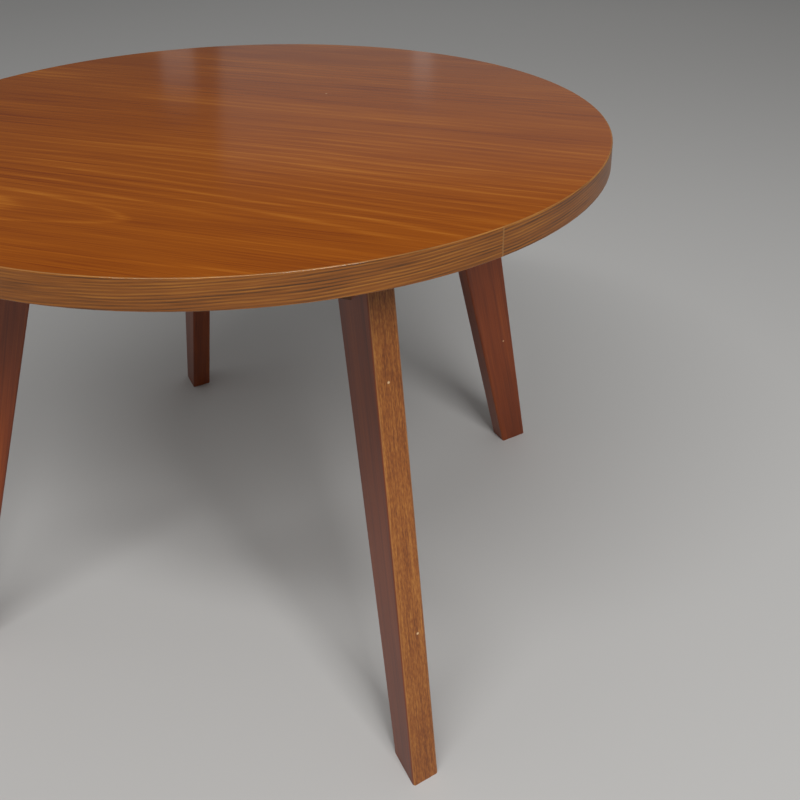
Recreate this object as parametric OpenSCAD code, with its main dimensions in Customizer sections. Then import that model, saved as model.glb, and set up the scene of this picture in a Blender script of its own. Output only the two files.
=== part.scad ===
// Round side table: a veneered round top on a square frame of rails, with four splayed legs.
// Each leg is a flat board set on the diagonal, held between the mitred ends of two rails.
// Origin on the floor under the centre of the top, +Z up, front towards -Y, millimetres.

/* [Top] */
// Diameter of the top
top_d = 700; // [620:10:900]
// Height of the upper face above the floor
table_h = 496; // [420:2:640]
// Thickness of the board inside the top
core_t = 22; // [19:1:32]
// Thickness of the veneer on the upper and the lower face
veneer_t = 0.7; // [0.5:0.1:1.2]
// Thickness of the wood strip bent round the edge
band_t = 1.2; // [1:0.1:3]
// Rounding of the strip's upper and lower arris
arris_r = 0.7; // [0.3:0.1:0.9]
// Width of the open joint where the two ends of the strip meet
band_gap = 0.3; // [0.2:0.1:0.6]
// Direction of that joint, in degrees from +X
band_gap_angle = -35; // [-180:1:180]

/* [Legs] */
// Thickness of the board that a leg is cut from
leg_t = 24; // [22:0.5:28]
// Width of a leg under the top, along the diagonal
head_w = 67.5; // [62:0.5:72]
// Width of a leg at the floor, along the diagonal
foot_w = 35; // [25:0.5:50]
// How far the outer edge of a leg stands inside the rim, under the top
head_inset = 85; // [76:1:92]
// How far the outer edge of a foot stands inside the rim, on the floor
foot_inset = 1.5; // [0:0.5:40]
// Rounding of the four long arrises of a leg
leg_edge_r = 2.5; // [1:0.5:4]

/* [Frame] */
// From the outer edge of a leg, under the top, to the outer face of a rail on its cheek
rail_inset = 21; // [16:0.5:25]
// Thickness of a rail
rail_t = 18; // [15:0.5:20]
// Depth of a rail, down from the top
rail_h = 63; // [56:1:75]
// Depth of a corner block, down from the top
block_h = 45; // [40:1:50]
// Width of a corner block along the diagonal, under the top
block_w = 30; // [24:1:36]

/* [Fixings] */
// Diameter of a dowel
dowel_d = 8; // [6:0.5:8.5]
// How far a dowel enters the rail on each side of its leg
dowel_bite = 11; // [8:0.5:12]
// Distance between the two dowels of a leg
dowel_pitch = 32; // [24:1:34]
// Slack between a dowel or a screw and its hole, on the radius
hole_slack = 0.1; // [0.05:0.05:0.2]
// Shank diameter of a wood screw
screw_d = 4.5; // [3.5:0.5:5]
// Head diameter of a wood screw
head_d = 9; // [8:0.5:10]
// Thickness of a screw's head
head_t = 2.6; // [2:0.2:3.2]
// Width and depth of the slot in a screw's head
slot_w = 1.2; // [1:0.1:1.4]
// Length of the screws that go up into the top, under the head
top_screw_l = 58; // [54:1:62]
// Length of the screws that go into the legs, under the head
leg_screw_l = 60; // [50:1:66]

/* [Hidden] */

face_colour = "#a4531c";
band_colour = "#8a5a2e";
leg_colour = "#8c4f26";
rail_colour = "#9a6a3e";
board_colour = "#c7a271";
dowel_colour = "#d4b68a";
screw_colour = "#b9b4a6";

$fn = 96;
// How far a cut runs past the face that it opens
overrun = 1;
// Length along a diagonal for a unit square to a side
diagonal = sqrt(2);

// Heights from the floor
top_t = core_t + 2 * veneer_t;
frame_z = table_h - top_t;
core_z = frame_z + veneer_t;
face_z = core_z + core_t;

face_r = top_d / 2;
core_r = face_r - band_t;

// Directions of the legs, from the front right one, and of the rails, from the front one
corner_angles = [-45, 45, 135, 225];
side_angles = [-90, 0, 90, 180];

// A leg's two edges lean out by different angles, so it tapers to the foot
head_reach = face_r - head_inset;
foot_reach = face_r - foot_inset;
head_inner = head_reach - head_w;
foot_inner = foot_reach - foot_w;
outer_lean = atan((foot_reach - head_reach) / frame_z);
inner_lean = atan((foot_inner - head_inner) / frame_z);

// Rail: the reach of its outer face, half its length there, and the reach of its inner face
rail_reach = (head_reach - rail_inset + leg_t / 2) / diagonal;
rail_half = rail_reach - leg_t / diagonal;
rail_inner = rail_reach - rail_t;

// Where the mitred end of a rail lies on the cheek of a leg, along the diagonal
seat_start = rail_inner * diagonal - leg_t / 2;
seat_w = rail_t * diagonal;
// A dowel stands in the inner part of that seat, where the mitred end has the most wood
dowel_seat_share = 0.26;
dowel_reach = seat_start + seat_w * dowel_seat_share;
dowel_l = leg_t + 2 * dowel_bite;
joint_z = frame_z - rail_h / 2;

// Corner block: its sides lie on two rails, whose inner faces would meet at block_apex
block_apex = rail_inner * diagonal;
block_inner = head_inner - block_w;
block_half = block_apex - block_inner;
block_foot = head_inner + block_h * tan(inner_lean);
top_screw_reach = block_inner + block_w / 2;
top_screw_share = 0.42;
top_screw_side = (block_apex - top_screw_reach) * top_screw_share;

// A long board along +Z whose edge lies at x = 0, with that edge's two arrises rounded
module edged_board() {
    board_w = 2 * head_w;
    translate([0, 0, -board_w])
        linear_extrude(table_h + 2 * board_w) {
            translate([-board_w, -leg_t / 2])
                square([board_w - leg_edge_r, leg_t]);
            translate([-board_w, leg_edge_r - leg_t / 2])
                square([board_w, leg_t - 2 * leg_edge_r]);
            for (side = [-1, 1])
                translate([-leg_edge_r, side * (leg_t / 2 - leg_edge_r)])
                    circle(leg_edge_r);
        }
}

// Leg on the +X axis: what two boards share, one along each of its leaning edges
module leg_blank() {
    intersection() {
        translate([foot_reach, 0, 0])
            rotate([0, -outer_lean, 0])
                edged_board();
        translate([foot_inner, 0, 0])
            rotate([0, -inner_lean, 0])
                mirror([1, 0, 0])
                    edged_board();
        translate([0, -leg_t, 0])
            cube([foot_reach + overrun, 2 * leg_t, frame_z]);
    }
}

// Places of the fixings of a corner that lies on the +X axis
module at_dowels() {
    for (step = [-1, 1])
        translate([dowel_reach, 0, joint_z + step * dowel_pitch / 2])
            rotate([90, 0, 0])
                children();
}

module at_leg_screw() {
    translate([block_inner, 0, joint_z])
        rotate([0, 90, 0])
            children();
}

module at_top_screws() {
    for (side = [-1, 1])
        translate([top_screw_reach, side * top_screw_side, frame_z - block_h])
            children();
}

module dowel_hole() {
    cylinder(d = dowel_d + 2 * hole_slack, h = dowel_l + 2 * hole_slack, center = true);
}

// Slotted wood screw along +Z, with its head below z = 0
module screw(length) {
    difference() {
        rotate_extrude()
            polygon([
                [0, -head_t],
                [(head_d - head_t) / 2, -head_t],
                [head_d / 2, -head_t / 2],
                [head_d / 2, 0],
                [screw_d / 2, 0],
                [screw_d / 2, length - screw_d],
                [0, length]
            ]);
        translate([-head_d, -slot_w / 2, -head_t - overrun])
            cube([2 * head_d, slot_w, slot_w + overrun]);
    }
}

module screw_hole(length) {
    translate([0, 0, -overrun])
        cylinder(d = screw_d + 2 * hole_slack, h = length + hole_slack + overrun);
}

module top_veneer() {
    color(face_colour)
        translate([0, 0, face_z])
            cylinder(r = core_r, h = veneer_t);
}

module core_board() {
    color(board_colour)
        difference() {
            translate([0, 0, core_z])
                cylinder(r = core_r, h = core_t);
            for (angle = corner_angles)
                rotate([0, 0, angle])
                    at_top_screws() screw_hole(top_screw_l);
        }
}

module bottom_veneer() {
    color(band_colour)
        difference() {
            translate([0, 0, frame_z])
                cylinder(r = core_r, h = veneer_t);
            for (angle = corner_angles)
                rotate([0, 0, angle])
                    at_top_screws() screw_hole(top_screw_l);
        }
}

// The strip covers the board and the edges of both veneers, and is open at its butt joint
module edge_band() {
    color(band_colour)
        translate([0, 0, frame_z])
            difference() {
                rotate_extrude() {
                    translate([core_r, 0])
                        square([band_t - arris_r, top_t]);
                    translate([core_r, arris_r])
                        square([band_t, top_t - 2 * arris_r]);
                    for (z = [arris_r, top_t - arris_r])
                        translate([face_r - arris_r, z])
                            circle(arris_r);
                }
                rotate([0, 0, band_gap_angle])
                    translate([core_r - overrun, -band_gap / 2, -overrun])
                        cube([band_t + 2 * overrun, band_gap, top_t + 2 * overrun]);
            }
}

module leg(corner) {
    color(leg_colour)
        rotate([0, 0, corner_angles[corner]])
            difference() {
                leg_blank();
                at_dowels() dowel_hole();
                at_leg_screw() screw_hole(leg_screw_l);
            }
}

// Rail with its outer face towards +X, mitred at both ends to lie on the cheeks of two legs
module rail(side) {
    color(rail_colour)
        rotate([0, 0, side_angles[side]])
            difference() {
                translate([0, 0, frame_z - rail_h])
                    linear_extrude(rail_h)
                        polygon([
                            [rail_reach, -rail_half],
                            [rail_reach, rail_half],
                            [rail_inner, rail_half - rail_t],
                            [rail_inner, rail_t - rail_half]
                        ]);
                for (turn = [-45, 45])
                    rotate([0, 0, turn])
                        at_dowels() dowel_hole();
            }
}

// Block behind a leg, glued to both rails and cut to the slope of the leg's inner edge
module corner_block(corner) {
    color(rail_colour)
        rotate([0, 0, corner_angles[corner]])
            difference() {
                intersection() {
                    translate([0, block_half, 0])
                        rotate([90, 0, 0])
                            linear_extrude(2 * block_half)
                                polygon([
                                    [block_inner, frame_z - block_h],
                                    [block_foot, frame_z - block_h],
                                    [head_inner, frame_z],
                                    [block_inner, frame_z]
                                ]);
                    linear_extrude(table_h)
                        polygon([
                            [block_inner, -block_half],
                            [block_apex, 0],
                            [block_inner, block_half]
                        ]);
                }
                at_top_screws() screw_hole(top_screw_l);
                at_leg_screw() screw_hole(leg_screw_l);
            }
}

module leg_dowels() {
    color(dowel_colour)
        for (angle = corner_angles)
            rotate([0, 0, angle])
                at_dowels() cylinder(d = dowel_d, h = dowel_l, center = true);
}

module leg_screws() {
    color(screw_colour)
        for (angle = corner_angles)
            rotate([0, 0, angle])
                at_leg_screw() screw(leg_screw_l);
}

module top_screws() {
    color(screw_colour)
        for (angle = corner_angles)
            rotate([0, 0, angle])
                at_top_screws() screw(top_screw_l);
}

top_veneer();
core_board();
bottom_veneer();
edge_band();
leg(0);  // leg_front_right
leg(1);  // leg_back_right
leg(2);  // leg_back_left
leg(3);  // leg_front_left
rail(0);  // rail_front
rail(1);  // rail_right
rail(2);  // rail_back
rail(3);  // rail_left
corner_block(0);  // block_front_right
corner_block(1);  // block_back_right
corner_block(2);  // block_back_left
corner_block(3);  // block_front_left
leg_dowels();
leg_screws();
top_screws();
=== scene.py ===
import math

import bpy
from mathutils import Matrix, Vector


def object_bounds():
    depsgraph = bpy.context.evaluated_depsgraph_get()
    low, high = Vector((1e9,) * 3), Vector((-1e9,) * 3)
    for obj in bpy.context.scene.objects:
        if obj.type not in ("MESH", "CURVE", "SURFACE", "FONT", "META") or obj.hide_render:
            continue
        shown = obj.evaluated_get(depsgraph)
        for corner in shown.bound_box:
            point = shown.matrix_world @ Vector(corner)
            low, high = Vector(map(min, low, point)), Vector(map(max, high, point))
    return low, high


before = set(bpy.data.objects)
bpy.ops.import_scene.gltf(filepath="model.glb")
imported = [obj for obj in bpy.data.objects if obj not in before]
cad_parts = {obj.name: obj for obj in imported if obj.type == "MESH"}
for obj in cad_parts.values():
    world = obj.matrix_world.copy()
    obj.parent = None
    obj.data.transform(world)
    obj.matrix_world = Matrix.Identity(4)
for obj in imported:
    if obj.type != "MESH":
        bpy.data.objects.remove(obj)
size_before = [list(corner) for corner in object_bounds()]


# Legs
# Four boards of ash, 24 mm thick, sawn to a taper, planed and stained brown under satin lacquer.
# Each stands on a diagonal and leans outwards. The stain is dark and red on the broad cheeks, and
# paler and flecked on the narrow outer edges.
def linear(hex_colour):
    """An sRGB hex colour as linear RGBA."""
    out = []
    for i in (1, 3, 5):
        c = int(hex_colour[i:i + 2], 16) / 255
        out.append(c / 12.92 if c <= 0.04045 else ((c + 0.055) / 1.055) ** 2.4)
    return (*out, 1)


def add(m, kind, settings=None, **inputs):
    """Adds a node to a material or world. Inputs go by name or number, as values or sockets."""
    n = m.node_tree.nodes.new("ShaderNode" + kind)
    for key, value in (settings or {}).items():
        if key == "stops":
            while len(n.color_ramp.elements) < len(value):
                n.color_ramp.elements.new(0.5)
            for element, (at, hex_colour) in zip(n.color_ramp.elements, value):
                element.position = at
                element.color = linear(hex_colour)
        else:
            setattr(n, key, value)
    for key, value in inputs.items():
        socket = n.inputs[int(key[1:]) if key[0] == "_" else key.replace("_", " ")]
        if isinstance(value, bpy.types.NodeSocket):
            m.node_tree.links.new(value, socket)
        else:
            socket.default_value = value
    return n


def finish_with(name, roughness):
    """A new material whose surface has this roughness, and its shader node."""
    # The shader's own IOR of 1.5 is kept, which suits wood and lacquer
    m = bpy.data.materials.new(name)
    m.use_nodes = True
    m.node_tree.nodes.clear()
    shader = add(m, "BsdfPrincipled", Roughness=roughness)
    add(m, "OutputMaterial", Surface=shader.outputs[0])
    return m, shader


def dress(m, *names):
    """Gives these CAD nodes this material."""
    for name in names:
        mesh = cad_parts[name].data
        mesh.materials.clear()
        mesh.materials.append(m)


MM = 0.001
# A leg's grain runs up its middle, between its edges, which lean by 10 and by 14 degrees
leg_lean = math.radians(12)
# A chip in the lacquer is a dot of bare wood 2 mm across, with a soft rim
bare_wood = linear("#E2BF90")
chip_core = 0.7 * MM
chip_rim = 1.3 * MM


def chipped(m, here, colour, place, paleness):
    """This colour, with bare wood at a chip in the lacquer. The place is in mm."""
    away = add(m, "VectorMath", {"operation": "DISTANCE"}, _0=here,
               _1=[v * MM for v in place]).outputs["Value"]
    bare = add(m, "MapRange", Value=away, From_Min=chip_core, From_Max=chip_rim,
               To_Min=paleness, To_Max=0).outputs[0]
    return add(m, "Mix", {"data_type": "RGBA"}, _0=bare, _6=colour, _7=bare_wood).outputs[2]


def stained_ash(name, direction, chips):
    """Leg wood for a leg that stands in this direction, in degrees, with chips at these places."""
    # Satin lacquer on stained ash: a broad, soft highlight, broken a little by the open grain
    m, shader = finish_with(name, roughness=0.4)
    here = add(m, "TexCoord")
    turn = (0, 0, -math.radians(direction))
    turned = add(m, "Mapping", Vector=here.outputs["Object"], Rotation=turn)
    upright = add(m, "Mapping", Vector=turned.outputs[0], Rotation=(0, leg_lean, 0)).outputs[0]
    facing = add(m, "Mapping", {"vector_type": "NORMAL"}, Vector=here.outputs["Normal"],
                 Rotation=turn)
    outwards = add(m, "SeparateXYZ", Vector=facing.outputs[0]).outputs["X"]
    # 1 on the outer edge and 0 on the cheeks, with the change on the curve of the arris
    on_edge = add(m, "MapRange", {"interpolation_type": "SMOOTHSTEP"}, Value=outwards,
                  From_Min=0.55, From_Max=0.9).outputs[0]
    # Fibres 1.2 mm wide and some 90 mm long
    fibre_at = add(m, "Mapping", Vector=upright,
                   Scale=(1 / (1.2 * MM), 1 / (1.2 * MM), 1 / (90 * MM)))
    fibre = add(m, "TexNoise", Vector=fibre_at.outputs[0], Scale=1, Detail=3,
                Roughness=0.6).outputs[0]
    # Pores, which are finer than the render shows, are drawn as flecks 1 mm wide and 4 mm long
    fleck_at = add(m, "Mapping", Vector=upright, Scale=(1 / MM, 1 / MM, 1 / (4 * MM)))
    fleck = add(m, "TexNoise", Vector=fleck_at.outputs[0], Scale=1, Detail=2,
                Roughness=0.5).outputs[0]
    # Growth bands 7 mm apart, which wander as they run up the board
    band_at = add(m, "Mapping", Vector=upright,
                  Scale=(1 / (7 * MM), 1 / (7 * MM), 1 / (220 * MM)))
    band = add(m, "TexNoise", Vector=band_at.outputs[0], Scale=1, Detail=3,
               Roughness=0.5).outputs[0]
    # The cheeks show fibres and bands, and the edge flecks as well, each with its own share
    fibre_share, cheek_band_share = 0.45, 0.55
    edge_fleck_share, edge_band_share = 0.42, 0.28
    lines = add(m, "Math", {"operation": "MULTIPLY"}, _0=fibre, _1=fibre_share).outputs[0]
    broad = add(m, "Math", {"operation": "MULTIPLY_ADD"}, _0=band, _1=cheek_band_share,
                _2=lines).outputs[0]
    cheek = add(m, "ValToRGB", {"stops": [
        (0.32, "#622706"), (0.5, "#7D3408"), (0.68, "#93440E")]}, Fac=broad).outputs[0]
    flecked = add(m, "Math", {"operation": "MULTIPLY_ADD"}, _0=fleck, _1=edge_fleck_share,
                  _2=lines).outputs[0]
    flecked = add(m, "Math", {"operation": "MULTIPLY_ADD"}, _0=band, _1=edge_band_share,
                  _2=flecked).outputs[0]
    edge = add(m, "ValToRGB", {"stops": [
        (0.41, "#693611"), (0.57, "#91521D"), (0.73, "#B57733")]}, Fac=flecked).outputs[0]
    colour = add(m, "Mix", {"data_type": "RGBA"}, _0=on_edge, _6=cheek, _7=edge).outputs[2]
    # The colour is paler along the outer arrises, most where their curve faces half outwards
    arris_facing, arris_spread = 0.75, 0.2
    off_arris = add(m, "Math", {"operation": "SUBTRACT"}, _0=outwards, _1=arris_facing).outputs[0]
    off_arris = add(m, "Math", {"operation": "ABSOLUTE"}, _0=off_arris).outputs[0]
    pale_share = add(m, "MapRange", Value=off_arris, From_Max=arris_spread, To_Min=0.6,
                 To_Max=0).outputs[0]
    colour = add(m, "Mix", {"data_type": "RGBA"}, _0=pale_share, _6=colour,
                 _7=linear("#B98045")).outputs[2]
    for chip in chips:
        colour = chipped(m, here.outputs["Object"], colour, chip, paleness=0.9)
    m.node_tree.links.new(colour, shader.inputs["Base Color"])
    # The open pores of ash are felt through the lacquer, as a relief of 0.08 mm
    grain = add(m, "Bump", Strength=0.25, Distance=0.08 * MM, Height=flecked).outputs[0]
    m.node_tree.links.new(grain, shader.inputs["Normal"])
    return m


for corner, direction, chips in (
        ("front_right", -45, [(201.4, -202.9, 354.6), (232.6, -226.4, 135.4)]),
        ("back_right", 45, [(225.6, 208.7, 154.9)]),
        ("back_left", 135, []),
        ("front_left", 225, [])):
    dress(stained_ash("satin_lacquered_stained_ash_" + corner, direction, chips), "leg_" + corner)


# Leg dowels
# Plain pegs of raw beech, 8 mm thick, glued through each leg into the rails on both sides.
# They are hidden in the joints once the frame is closed.
# Raw turned beech: pale and even, with no gloss
raw_beech, shader = finish_with("raw_beech_dowel", roughness=0.7)
here = add(raw_beech, "TexCoord").outputs["Object"]
# Beech has pores too fine to show, so they are drawn as clouds of 2 mm, alike in all directions
pores = add(raw_beech, "TexNoise", Vector=here, Scale=1 / (2 * MM), Detail=3).outputs[0]
tone = add(raw_beech, "ValToRGB", {"stops": [(0.35, "#C6A577"), (0.65, "#DDC093")]},
           Fac=pores).outputs[0]
raw_beech.node_tree.links.new(tone, shader.inputs["Base Color"])
dress(raw_beech, "leg_dowels")


# Rails and corner blocks
# Planed beech, 18 mm thick, wiped with the leg stain and left without gloss. Its colour is also
# made darker, as painted shade for the shade under the top. The rails are mitred to lie on the
# cheeks of the legs, and the blocks are glued into the corners behind them.
def wiped_beech_and_painted_shade(name, direction):
    """Frame wood whose grain runs level in this direction, in degrees."""
    # Stain wiped on planed beech soaks in unevenly and leaves the wood dull
    m, shader = finish_with(name, roughness=0.6)
    here = add(m, "TexCoord").outputs["Object"]
    turned = add(m, "Mapping", Vector=here, Rotation=(0, 0, -math.radians(direction))).outputs[0]
    # Fibres 1 mm wide and 60 mm long, and the short dark flecks of beech, 1 mm by 4 mm
    fibre_at = add(m, "Mapping", Vector=turned, Scale=(1 / (60 * MM), 1 / MM, 1 / MM))
    fibre = add(m, "TexNoise", Vector=fibre_at.outputs[0], Scale=1, Detail=3,
                Roughness=0.6).outputs[0]
    fleck_at = add(m, "Mapping", Vector=turned, Scale=(1 / (4 * MM), 1 / MM, 1 / MM))
    fleck = add(m, "TexNoise", Vector=fleck_at.outputs[0], Scale=1, Detail=1).outputs[0]
    # Broad bands of tone, 16 mm wide and 300 mm long
    band_at = add(m, "Mapping", Vector=turned,
                  Scale=(1 / (300 * MM), 1 / (16 * MM), 1 / (16 * MM)))
    band = add(m, "TexNoise", Vector=band_at.outputs[0], Scale=1, Detail=2).outputs[0]
    fleck_share, fibre_share, band_share = 0.25, 0.35, 0.4
    mixed = add(m, "Math", {"operation": "MULTIPLY"}, _0=fleck, _1=fleck_share).outputs[0]
    mixed = add(m, "Math", {"operation": "MULTIPLY_ADD"}, _0=fibre, _1=fibre_share,
                _2=mixed).outputs[0]
    mixed = add(m, "Math", {"operation": "MULTIPLY_ADD"}, _0=band, _1=band_share,
                _2=mixed).outputs[0]
    # These tones are darker than the leg stain: partly the wiped stain and partly painted shade
    # from the top above
    colour = add(m, "ValToRGB", {"stops": [
        (0.36, "#4E2A10"), (0.5, "#663A19"), (0.66, "#7D4C25")]}, Fac=mixed).outputs[0]
    m.node_tree.links.new(colour, shader.inputs["Base Color"])
    return m


dress(wiped_beech_and_painted_shade("wiped_beech_rail_along_x", 0), "rail_front", "rail_back")
dress(wiped_beech_and_painted_shade("wiped_beech_rail_along_y", 90), "rail_left", "rail_right")
dress(wiped_beech_and_painted_shade("wiped_beech_block_falling", -45), "block_back_right", "block_front_left")
dress(wiped_beech_and_painted_shade("wiped_beech_block_rising", 45), "block_front_right", "block_back_left")


# Screws
# Slotted wood screws of mild steel, plated with zinc and yellowed a little. One holds each block
# to its leg, and two go up through each block into the board of the top.
# Zinc plating: a grey metal that blurs what it mirrors and is clouded by its bloom
zinc, shader = finish_with("zinc_plated_steel", roughness=0.38)
shader.inputs["Metallic"].default_value = 1
here = add(zinc, "TexCoord").outputs["Object"]
# The plating's bloom, in clouds of 3 mm
bloom = add(zinc, "TexNoise", Vector=here, Scale=1 / (3 * MM), Detail=4).outputs[0]
tone = add(zinc, "ValToRGB", {"stops": [(0.3, "#A39E8E"), (0.7, "#C9C4B2")]},
           Fac=bloom).outputs[0]
zinc.node_tree.links.new(tone, shader.inputs["Base Color"])
dress(zinc, "leg_screws", "top_screws")


# Core board
# Blockboard, 22 mm thick: strips of pale softwood 25 mm wide, glued side by side. The veneers
# and the edge strip hide it on all sides.
# Sawn softwood: pale and quite dull, each strip of its own tone
blockboard, shader = finish_with("raw_blockboard", roughness=0.8)
here = add(blockboard, "TexCoord").outputs["Object"]
strips = add(blockboard, "Mapping", Vector=here, Scale=(0, 1 / (25 * MM), 0)).outputs[0]
strip = add(blockboard, "VectorMath", {"operation": "FLOOR"}, _0=strips).outputs[0]
tint = add(blockboard, "TexWhiteNoise", Vector=strip).outputs["Value"]
tone = add(blockboard, "ValToRGB", {"stops": [(0, "#B99A6B"), (1, "#D0B484")]},
           Fac=tint).outputs[0]
blockboard.node_tree.links.new(tone, shader.inputs["Base Color"])
dress(blockboard, "core_board")


# Bottom veneer
# A plain backing sheet of the same wood as the edge, pressed on to keep the board flat. It is
# only stained and sealed, so it is dull, and its straight grain runs along X like the face.
# Sealed veneer without polish: a weak, wide sheen over straight grain
backing, shader = finish_with("sealed_backing_veneer", roughness=0.5)
here = add(backing, "TexCoord").outputs["Object"]
# Fibres 1.5 mm wide and 120 mm long, in bands about 20 mm wide
fibre_at = add(backing, "Mapping", Vector=here, Scale=(1 / (120 * MM), 1 / (1.5 * MM), 1))
fibre = add(backing, "TexNoise", Vector=fibre_at.outputs[0], Scale=1, Detail=3,
            Roughness=0.6).outputs[0]
band_at = add(backing, "Mapping", Vector=here, Scale=(1 / (500 * MM), 1 / (20 * MM), 1))
band = add(backing, "TexNoise", Vector=band_at.outputs[0], Scale=1, Detail=3).outputs[0]
half = add(backing, "Math", {"operation": "MULTIPLY"}, _0=fibre, _1=0.5).outputs[0]
mixed = add(backing, "Math", {"operation": "MULTIPLY_ADD"}, _0=band, _1=0.5, _2=half).outputs[0]
tone = add(backing, "ValToRGB", {"stops": [
    (0.36, "#5B3A1E"), (0.5, "#76502C"), (0.64, "#8A633B")]}, Fac=mixed).outputs[0]
backing.node_tree.links.new(tone, shader.inputs["Base Color"])
dress(backing, "bottom_veneer")


# Top veneer
# A sheet of orange-brown hardwood veneer, 0.7 mm thick, pressed on the board and polished under
# clear gloss lacquer. The grain runs along X. The leaf is cut a little off the heart, so one long
# pointed arch lies near the front rim and the rest runs nearly straight, in pale thin lines.
face_height = size_before[1][2]
# Gloss lacquer: the wood looks deep in colour and mirrors the room with a slight blur
face_veneer, shader = finish_with("gloss_lacquered_face_veneer", roughness=0.14)
here = add(face_veneer, "TexCoord").outputs["Object"]
# The grain wanders by about 3 mm over 220 mm of its length
bend_at = add(face_veneer, "Mapping", Vector=here, Scale=(1 / (220 * MM), 1 / (80 * MM), 1))
bend = add(face_veneer, "TexNoise", Vector=bend_at.outputs[0], Scale=1, Detail=2, Roughness=0.45)
centred = add(face_veneer, "VectorMath", {"operation": "SUBTRACT"}, _0=bend.outputs["Color"],
              _1=(0.5, 0.5, 0.5)).outputs[0]
grain_at = add(face_veneer, "VectorMath", {"operation": "MULTIPLY_ADD"}, _0=centred,
               _1=(0, 10 * MM, 0), _2=here).outputs[0]
# Growth rings: long ellipses about a heart at the left of the arch, 11 mm apart across the grain.
# The phase, in radians, puts one ring where the arch's tip is
ring_gap = 11 * MM
ring_phase = -1.9
ring_stretch = 10
heart_x, heart_y = -360 * MM, -262 * MM
heart = add(face_veneer, "Mapping", {"vector_type": "TEXTURE"}, Vector=grain_at,
            Location=(heart_x, heart_y, face_height), Scale=(ring_stretch, 1, 1)).outputs[0]
from_heart = add(face_veneer, "VectorMath", {"operation": "LENGTH"}, _0=heart).outputs["Value"]
turns = add(face_veneer, "Math", {"operation": "MULTIPLY_ADD"}, _0=from_heart,
            _1=2 * math.pi / ring_gap, _2=ring_phase).outputs[0]
swing = add(face_veneer, "Math", {"operation": "SINE"}, _0=turns).outputs[0]
upper = add(face_veneer, "MapRange", Value=swing, From_Min=-1, From_Max=1).outputs[0]
# The power makes the lines thin, with wide gaps between them
ring = add(face_veneer, "Math", {"operation": "POWER"}, _0=upper, _1=4).outputs[0]
# The rings are palest at the arch and fade from there to 260 mm behind the heart. Elsewhere they
# are pale in some bands, 30 mm wide, and dark in others
arch = add(face_veneer, "MapRange", Value=from_heart, From_Min=38 * MM, From_Max=48 * MM,
           To_Min=0.12, To_Max=-1).outputs[0]
aside = add(face_veneer, "SeparateXYZ", Vector=heart).outputs["Y"]
behind = add(face_veneer, "MapRange", Value=aside, From_Min=12 * MM, From_Max=34 * MM).outputs[0]
faded = add(face_veneer, "MapRange", Value=from_heart, From_Min=40 * MM, From_Max=260 * MM,
            To_Min=0.1, To_Max=0.02).outputs[0]
pale = add(face_veneer, "Math", {"operation": "MULTIPLY"}, _0=behind, _1=faded).outputs[0]
group_at = add(face_veneer, "Mapping", Vector=here, Scale=(1 / (400 * MM), 1 / (30 * MM), 1))
group = add(face_veneer, "TexNoise", Vector=group_at.outputs[0], Scale=1, Detail=1).outputs[0]
shown = add(face_veneer, "MapRange", Value=group, From_Min=0.34, From_Max=0.66,
            To_Min=-0.05, To_Max=0.065).outputs[0]
shown = add(face_veneer, "Math", {"operation": "MAXIMUM"}, _0=pale, _1=shown).outputs[0]
shown = add(face_veneer, "Math", {"operation": "MAXIMUM"}, _0=arch, _1=shown).outputs[0]
# Fibres 1.3 mm wide and 110 mm long, and broad tones 35 mm wide and 400 mm long
fibre_at = add(face_veneer, "Mapping", Vector=grain_at,
               Scale=(1 / (110 * MM), 1 / (1.3 * MM), 1))
fibre = add(face_veneer, "TexNoise", Vector=fibre_at.outputs[0], Scale=1, Detail=3,
            Roughness=0.6).outputs[0]
broad_at = add(face_veneer, "Mapping", Vector=grain_at, Scale=(1 / (400 * MM), 1 / (35 * MM), 1))
broad = add(face_veneer, "TexNoise", Vector=broad_at.outputs[0], Scale=1, Detail=3,
            Roughness=0.7).outputs[0]
fibre_share, broad_share = 0.38, 0.36
mixed = add(face_veneer, "Math", {"operation": "MULTIPLY"}, _0=ring, _1=shown).outputs[0]
mixed = add(face_veneer, "Math", {"operation": "MULTIPLY_ADD"}, _0=fibre, _1=fibre_share,
            _2=mixed).outputs[0]
mixed = add(face_veneer, "Math", {"operation": "MULTIPLY_ADD"}, _0=broad, _1=broad_share,
            _2=mixed).outputs[0]
wood = add(face_veneer, "ValToRGB", {"stops": [
    (0.25, "#733109"), (0.34, "#8A450B"), (0.42, "#964E0D"), (0.57, "#B46C20")]},
           Fac=mixed).outputs[0]
# One chip in the lacquer lies behind the middle
wood = chipped(face_veneer, here, wood, (35.6, 101.1, face_height / MM), paleness=0.6)
face_veneer.node_tree.links.new(wood, shader.inputs["Base Color"])
dress(face_veneer, "top_veneer")


# Edge strip
# A strip of the leg wood, 1.2 mm thick, bent round the board after the veneers and sanded flush,
# with both arrises softened. Its grain runs along the edge in wavy lines about 2.4 mm apart, and
# its two ends meet in one upright joint at the right of the front.
top_r = size_before[1][0]
joint_direction = -35
# Satin lacquer on a bent strip: the highlight runs out softly round the edge
satin, gloss = 0.38, 0.14
edge_strip, shader = finish_with("satin_lacquered_edge_strip", roughness=satin)
coordinates = add(edge_strip, "TexCoord").outputs
here = coordinates["Object"]
# A place along the strip is an angle, 0 opposite the joint and half a turn at it, times the radius
turned = add(edge_strip, "Mapping", Vector=here,
             Rotation=(0, 0, math.radians(180 - joint_direction))).outputs[0]
place = add(edge_strip, "SeparateXYZ", Vector=turned)
angle = add(edge_strip, "Math", {"operation": "ARCTAN2"}, _0=place.outputs["Y"],
            _1=place.outputs["X"])
length = add(edge_strip, "Math", {"operation": "MULTIPLY"}, _0=angle.outputs[0],
             _1=top_r).outputs[0]
flat = add(edge_strip, "CombineXYZ", X=length, Y=place.outputs["Z"], Z=0.0).outputs[0]
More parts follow.
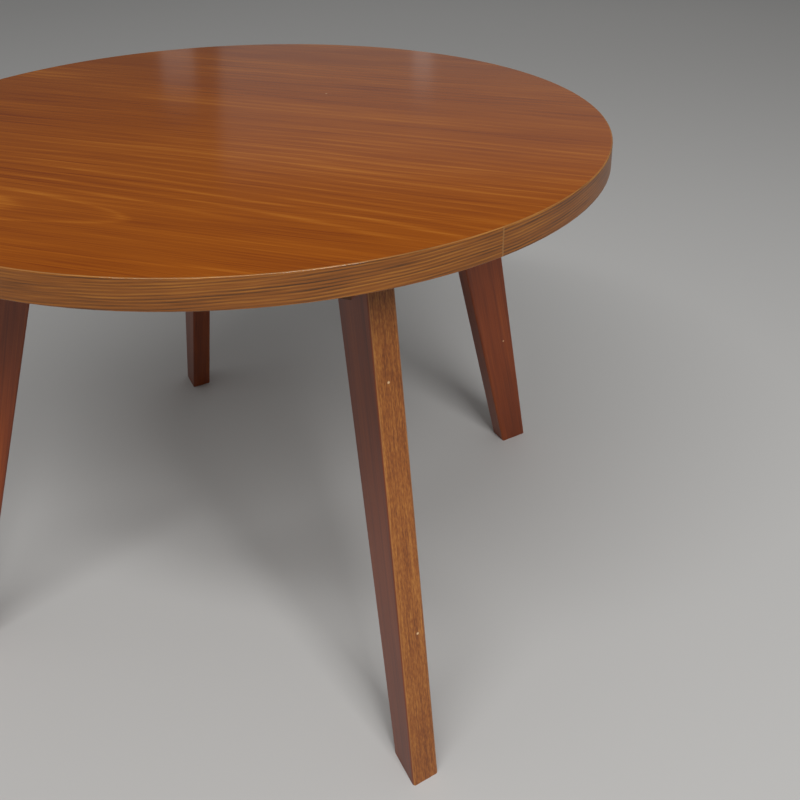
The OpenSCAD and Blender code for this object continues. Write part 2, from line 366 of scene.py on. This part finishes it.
# The lines run out at a slope of 1 in 40 and wander by about a millimetre over 110 mm
bend_at = add(edge_strip, "Mapping", Vector=flat, Scale=(1 / (110 * MM), 1 / (30 * MM), 1))
bend = add(edge_strip, "TexNoise", Vector=bend_at.outputs[0], Scale=1, Detail=2).outputs["Color"]
sloping = add(edge_strip, "Mapping", Vector=flat, Rotation=(0, 0, -1 / 40)).outputs[0]
grain_at = add(edge_strip, "VectorMath", {"operation": "MULTIPLY_ADD"}, _0=bend,
               _1=(0, 5 * MM, 0), _2=sloping).outputs[0]
across = add(edge_strip, "SeparateXYZ", Vector=grain_at).outputs["Y"]
line_gap = 2.4 * MM
turns = add(edge_strip, "Math", {"operation": "MULTIPLY"}, _0=across,
            _1=2 * math.pi / line_gap).outputs[0]
swing = add(edge_strip, "Math", {"operation": "SINE"}, _0=turns).outputs[0]
# The lines are strong near both ends of the strip and faint in its middle
along = add(edge_strip, "Math", {"operation": "ABSOLUTE"}, _0=angle.outputs[0]).outputs[0]
depth = add(edge_strip, "MapRange", Value=along, From_Min=1.8, From_Max=2.7, To_Min=0.02,
            To_Max=0.1).outputs[0]
# Fibres 0.9 mm wide and 45 mm long, and tones 9 mm wide and 160 mm long
fibre_at = add(edge_strip, "Mapping", Vector=grain_at, Scale=(1 / (45 * MM), 1 / (0.9 * MM), 1))
fibre = add(edge_strip, "TexNoise", Vector=fibre_at.outputs[0], Scale=1, Detail=3,
            Roughness=0.6).outputs[0]
tone_at = add(edge_strip, "Mapping", Vector=grain_at, Scale=(1 / (160 * MM), 1 / (9 * MM), 1))
tone = add(edge_strip, "TexNoise", Vector=tone_at.outputs[0], Scale=1, Detail=2).outputs[0]
fibre_share, tone_share = 0.65, 0.35
mixed = add(edge_strip, "Math", {"operation": "MULTIPLY"}, _0=fibre, _1=fibre_share).outputs[0]
mixed = add(edge_strip, "Math", {"operation": "MULTIPLY_ADD"}, _0=tone, _1=tone_share,
            _2=mixed).outputs[0]
mixed = add(edge_strip, "Math", {"operation": "MULTIPLY_ADD"}, _0=swing, _1=depth,
            _2=mixed).outputs[0]
wood = add(edge_strip, "ValToRGB", {"stops": [
    (0.30, "#412305"), (0.44, "#764209"), (0.54, "#864B0C"), (0.70, "#A1671F")]},
           Fac=mixed).outputs[0]
# The colour is paler along both arrises, as a painted highlight for the thin line of light there,
# and the stain is rubbed thin in the last 0.8 mm of each end, so the joint shows as a pale line
# between 1 and 2 mm wide
rise = add(edge_strip, "SeparateXYZ", Vector=coordinates["Normal"]).outputs["Z"]
tilt = add(edge_strip, "Math", {"operation": "ABSOLUTE"}, _0=rise).outputs[0]
pale_share = add(edge_strip, "MapRange", Value=tilt, From_Min=0.2, From_Max=0.7,
             To_Max=0.35).outputs[0]
at_end = add(edge_strip, "MapRange", Value=along, From_Min=math.pi - 0.8 * MM / top_r,
             From_Max=math.pi - 0.4 * MM / top_r, To_Max=0.6).outputs[0]
pale_share = add(edge_strip, "Math", {"operation": "MAXIMUM"}, _0=pale_share, _1=at_end).outputs[0]
wood = add(edge_strip, "Mix", {"data_type": "RGBA"}, _0=pale_share, _6=wood,
           _7=linear("#B2834F")).outputs[2]
edge_strip.node_tree.links.new(wood, shader.inputs["Base Color"])
# The top's gloss lacquer runs over the upper arris, which so catches the light in a thin line
sheen = add(edge_strip, "MapRange", Value=rise, From_Min=0.1, From_Max=0.4, To_Min=satin,
            To_Max=gloss).outputs[0]
edge_strip.node_tree.links.new(sheen, shader.inputs["Roughness"])
dress(edge_strip, "edge_band")


# Studio
# A wide sheet of pale matt paper on the floor, a dim room with a bright ceiling, and soft lamps
# at the right, the front and the left. Far behind stand a pale panel and two strips of light,
# which the polished top mirrors. The camera stands at the photograph's place.
half_floor = 12
# Matt paper gives an even ground that takes soft shadows
paper, shader = finish_with("matt_studio_paper", roughness=0.9)
shader.inputs["Base Color"].default_value = linear("#C2C1BF")
floor_mesh = bpy.data.meshes.new("studio_floor")
floor_mesh.from_pydata([(x * half_floor, y * half_floor, 0)
                        for x, y in ((-1, -1), (1, -1), (1, 1), (-1, 1))], [], [(0, 1, 2, 3)])
floor = bpy.data.objects.new("studio_floor", floor_mesh)
floor.data.materials.append(paper)
bpy.context.scene.collection.objects.link(floor)

room = bpy.data.worlds.new("studio_room")
bpy.context.scene.world = room
room.use_nodes = True
room.node_tree.nodes.clear()
seen = add(room, "TexCoord").outputs["Generated"]
height = add(room, "SeparateXYZ", Vector=seen).outputs["Z"]
# From the horizon up: a grey wall that darkens a little, then the bright ceiling
wall = add(room, "ValToRGB", {"stops": [
    (0.0, "#6C6C6C"), (0.22, "#545454"), (0.45, "#3C3C3C"), (0.85, "#C0C0C0")]},
           Fac=height).outputs[0]
air = add(room, "Background", Color=wall, Strength=0.8).outputs[0]
add(room, "OutputWorld", Surface=air)


def soft_lamp(name, at, towards, wide, high, watts):
    """An area lamp of this width and height at a place, turned towards a point."""
    data = bpy.data.lights.new(name, "AREA")
    data.shape = "RECTANGLE"
    data.size = wide
    data.size_y = high
    data.energy = watts
    lamp = bpy.data.objects.new(name, data)
    lamp.location = at
    lamp.rotation_euler = (Vector(towards) - Vector(at)).to_track_quat("-Z", "Y").to_euler()
    lamp.visible_camera = False
    bpy.context.scene.collection.objects.link(lamp)


soft_lamp("key_lamp", (1.6, -1.7, 2.35), (0, 0, 0.3), 1.0, 1.0, 49)
soft_lamp("front_lamp", (0, -1.35, 2.4), (0, 0, 0.4), 1.5, 0.25, 22)
soft_lamp("fill_lamp", (-2.4, -1.2, 2.2), (0, 0, 0.3), 2.0, 2.0, 4)
# The last three stand behind the table and face the camera's side, for the top to mirror
soft_lamp("left_strip_lamp", (-1.96, 3.09, 1.15), (0.38, -0.76, 0.9), 0.16, 0.5, 0.04)
soft_lamp("far_panel_lamp", (-0.69, 4.13, 1.38), (0.38, -0.76, 0.4), 2.92, 1.4, 1.6)
soft_lamp("right_strip_lamp", (-0.8, 3.6, 1.15), (0.38, -0.76, 0.9), 0.1, 0.5, 0.03)

# Solved from the rims of the top and the lines and feet of the legs in the photograph. The two
# shifts stand for its crop
lens = bpy.data.cameras.new("photo_camera")
lens.sensor_width = 36
lens.lens = 38.828
lens.shift_x = -0.0367
lens.shift_y = -0.3221
camera = bpy.data.objects.new("photo_camera", lens)
yaw = math.radians(-14.609)
pitch = math.radians(-18.293)
roll = math.radians(0.572)
ahead = Vector((math.sin(yaw) * math.cos(pitch), math.cos(yaw) * math.cos(pitch),
                math.sin(pitch)))
level = Vector((math.cos(yaw), -math.sin(yaw), 0))
above = level.cross(ahead)
right = math.cos(roll) * level + math.sin(roll) * above
up = math.cos(roll) * above - math.sin(roll) * level
camera.matrix_world = Matrix.Translation((0.37637, -0.75579, 0.74343)) @ Matrix(
    (right, up, -ahead)).transposed().to_4x4()
bpy.context.scene.collection.objects.link(camera)
bpy.context.scene.camera = camera
bpy.context.scene.view_settings.view_transform = "Standard"
